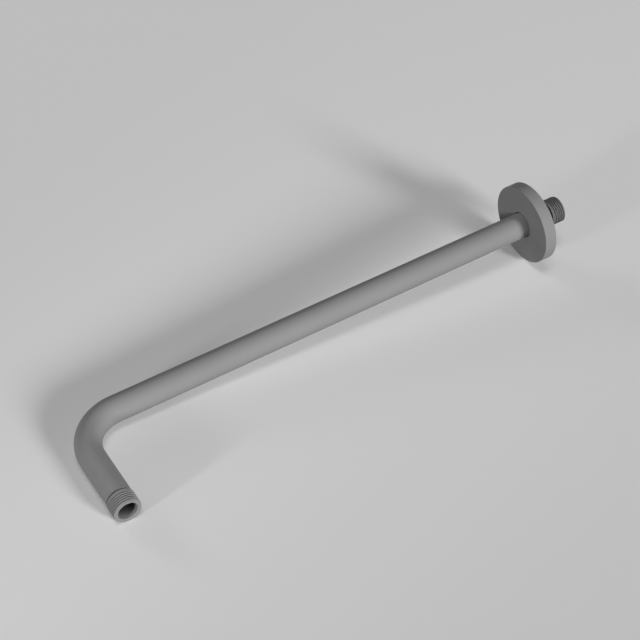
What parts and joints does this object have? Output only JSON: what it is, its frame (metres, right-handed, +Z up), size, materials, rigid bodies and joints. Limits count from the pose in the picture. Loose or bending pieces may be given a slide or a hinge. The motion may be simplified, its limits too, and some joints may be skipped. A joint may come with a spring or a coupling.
{
  "type": "shower arm",
  "caption": "Wall shower arm: round tube with a quarter bend and a short outlet leg, male pipe threads at its ends and a flat round wall flange sliding on the tube.",
  "frame": {"origin": "on the arm's axis at the inner end of the inlet thread, 13.5 mm behind the finished wall", "axes": "+X out from the wall along the arm, +Y along the outlet leg, +Z up as the arm lies on its side"},
  "size_m": [0.4355, 0.1185, 0.064],
  "materials": {
    "coated_tube": "matte neutral grey coat on a bent metal tube",
    "coated_thread": "matte neutral grey coat on turned, threaded metal",
    "coated_flange": "matte neutral grey coat on a turned metal cover",
    "seal_rubber": "plain black rubber"
  },
  "bodies": {
    "arm": {"arm_tube": "coated_tube", "inlet_nipple": "coated_thread", "outlet_nipple": "coated_thread"},
    "grip": {"flange_o_ring": "seal_rubber"},
    "flange": {"wall_flange": "coated_flange"}
  },
  "joints": [
    {"name": "flange_slide", "type": "slide", "parent": "arm", "child": "grip", "axis": [1, 0, 0], "range_m": [0, 0.355]},
    {"name": "flange_turn", "type": "hinge", "parent": "grip", "child": "flange", "pos_m": [0.02, 0, 0], "axis": [1, 0, 0], "continuous": true}
  ]
}
